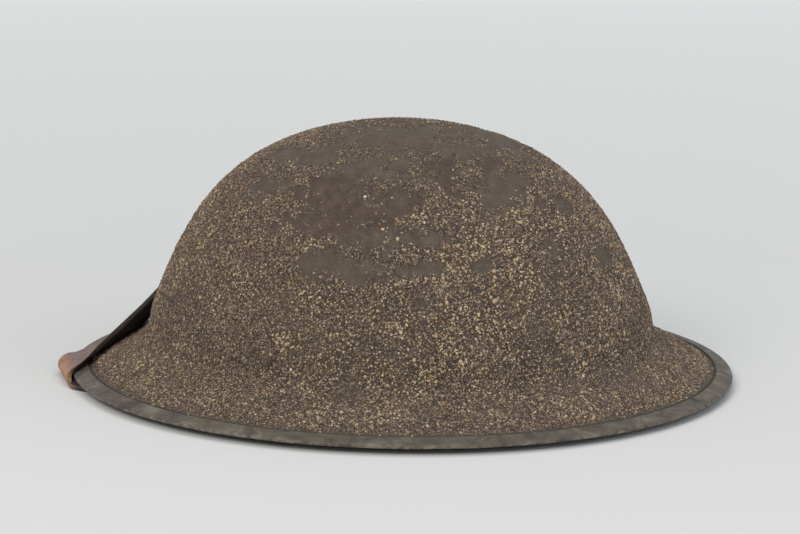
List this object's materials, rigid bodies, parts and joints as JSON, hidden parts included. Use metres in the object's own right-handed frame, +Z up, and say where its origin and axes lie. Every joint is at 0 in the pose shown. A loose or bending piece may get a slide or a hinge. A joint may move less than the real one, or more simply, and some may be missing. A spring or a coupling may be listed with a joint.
{
  "type": "brodie helmet",
  "caption": "Shallow round steel helmet with a wide sloping brim, a rubber-cushioned cloth and net lining inside, and a leather chin strap stowed over the front brim.",
  "frame": {"origin": "on the floor under the middle of the brim: x and y at the centre of the brim's oval, z at the underside of the strap where it folds round the rim", "axes": "+Z up through the crown, -Y to the front of the helmet where the strap is stowed, +X to the wearer's left"},
  "size_m": [0.2898, 0.3099, 0.1192],
  "materials": {
    "paint": "dead matt sand-textured olive-brown paint, worn smooth in places",
    "fittings_steel": "dark, dull, age-blackened steel",
    "rivet_copper": "dull copper",
    "strap_leather": "dry, faded brown",
    "oilcloth": "black oiled cloth, soft sheen",
    "felt": "dull grey-brown",
    "fibreboard": "stiff, dull brown",
    "buffer_rubber": "matt, aged",
    "cotton_twine": "dull natural"
  },
  "bodies": {
    "helmet": {"shell": "paint", "rim_strip": "paint", "crown_rivet": "paint", "lug_rivet_left": "paint", "lug_rivet_right": "paint", "lug_left": "fittings_steel", "lug_right": "fittings_steel", "crown_washer": "fittings_steel", "strap_rivet_left": "rivet_copper", "strap_rivet_right": "rivet_copper", "chin_strap_long": "strap_leather", "chin_strap_short": "strap_leather", "strap_loop_left": "strap_leather", "strap_loop_right": "strap_leather", "oilcloth_lining": "oilcloth", "sweatband": "oilcloth", "crown_pad_cover": "oilcloth", "crown_pad": "felt", "headband_hoop": "fibreboard", "rubber_buffer_1": "buffer_rubber", "rubber_buffer_2": "buffer_rubber", "rubber_buffer_3": "buffer_rubber", "rubber_buffer_4": "buffer_rubber", "rubber_buffer_5": "buffer_rubber", "rubber_buffer_6": "buffer_rubber", "rubber_buffer_7": "buffer_rubber", "rubber_buffer_8": "buffer_rubber", "rubber_buffer_9": "buffer_rubber", "rubber_buffer_10": "buffer_rubber", "rubber_buffer_11": "buffer_rubber", "rubber_buffer_12": "buffer_rubber", "head_net": "cotton_twine", "net_drawcord": "cotton_twine"},
    "bail_left": {"bail_left": "fittings_steel"},
    "bail_right": {"bail_right": "fittings_steel"},
    "strap_slide": {"strap_slide": "fittings_steel"},
    "strap_keeper": {"strap_keeper": "strap_leather"}
  },
  "joints": [
    {"name": "bail_left_swing", "type": "hinge", "parent": "helmet", "child": "bail_left", "pos_m": [0.10742, 0, 0.02135], "axis": [0, 1, 0], "range_deg": [-35, 60], "deforming": ["strap_loop_left"]},
    {"name": "bail_right_swing", "type": "hinge", "parent": "helmet", "child": "bail_right", "pos_m": [-0.10742, 0, 0.02135], "axis": [0, -1, 0], "range_deg": [-35, 60], "deforming": ["strap_loop_right"]},
    {"name": "slide_travel", "type": "slide", "parent": "helmet", "child": "strap_slide", "axis": [0.9458, -0.189, 0.2639], "range_m": [-0.003, 0.008]},
    {"name": "keeper_travel", "type": "slide", "parent": "helmet", "child": "strap_keeper", "axis": [0.9458, -0.189, 0.2639], "range_m": [-0.003, 0.003]}
  ]
}
